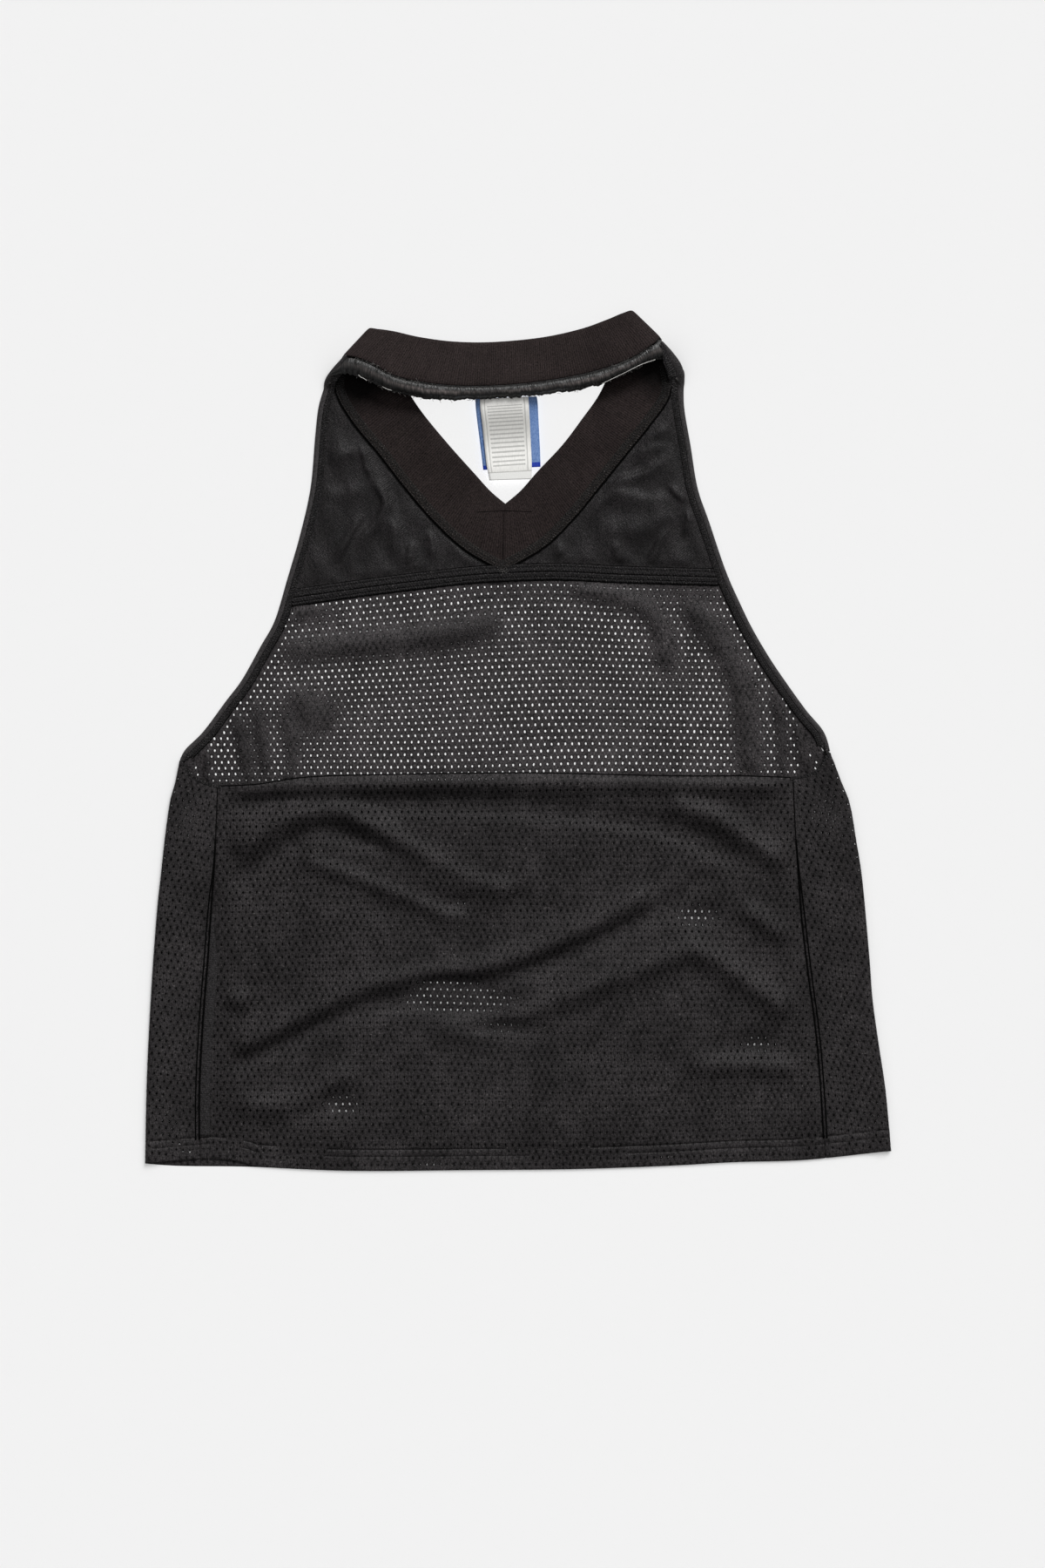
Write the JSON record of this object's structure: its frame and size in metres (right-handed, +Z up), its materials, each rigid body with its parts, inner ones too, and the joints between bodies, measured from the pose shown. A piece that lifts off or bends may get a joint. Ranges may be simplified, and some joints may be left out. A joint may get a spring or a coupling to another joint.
{
  "type": "halter top",
  "caption": "Sleeveless halter top of black athletic mesh with satin yoke, ribbed V neck band and a low straight back, laid flat with its back up.",
  "frame": {"origin": "middle of the underside, on the surface the garment lies on, at the centre of its outline", "axes": "+Y towards the neck, +X to the right of the garment as it lies with its back up, +Z up out of the surface"},
  "size_m": [0.4792, 0.5526, 0.0151],
  "materials": {
    "athletic_mesh": "matt black polyester eyelet mesh knit",
    "yoke_satin": "black satin-faced knit with a soft sheen",
    "neck_rib_knit": "matt brown-black fine rib knit",
    "size_label_tape": "light blue woven tape with a royal blue end",
    "care_label_tape": "white satin tape with thin grey rules"
  },
  "bodies": {
    "root": {"front_body": "athletic_mesh", "back_body": "athletic_mesh", "side_panel_left": "athletic_mesh", "side_panel_right": "athletic_mesh", "yoke_left": "yoke_satin", "yoke_right": "yoke_satin", "neck_rib": "neck_rib_knit", "back_neck_strip": "yoke_satin", "yoke_seam_band": "yoke_satin", "armhole_hem_left": "athletic_mesh", "armhole_hem_right": "athletic_mesh", "size_label": "size_label_tape", "care_label": "care_label_tape"}
  },
  "joints": []
}
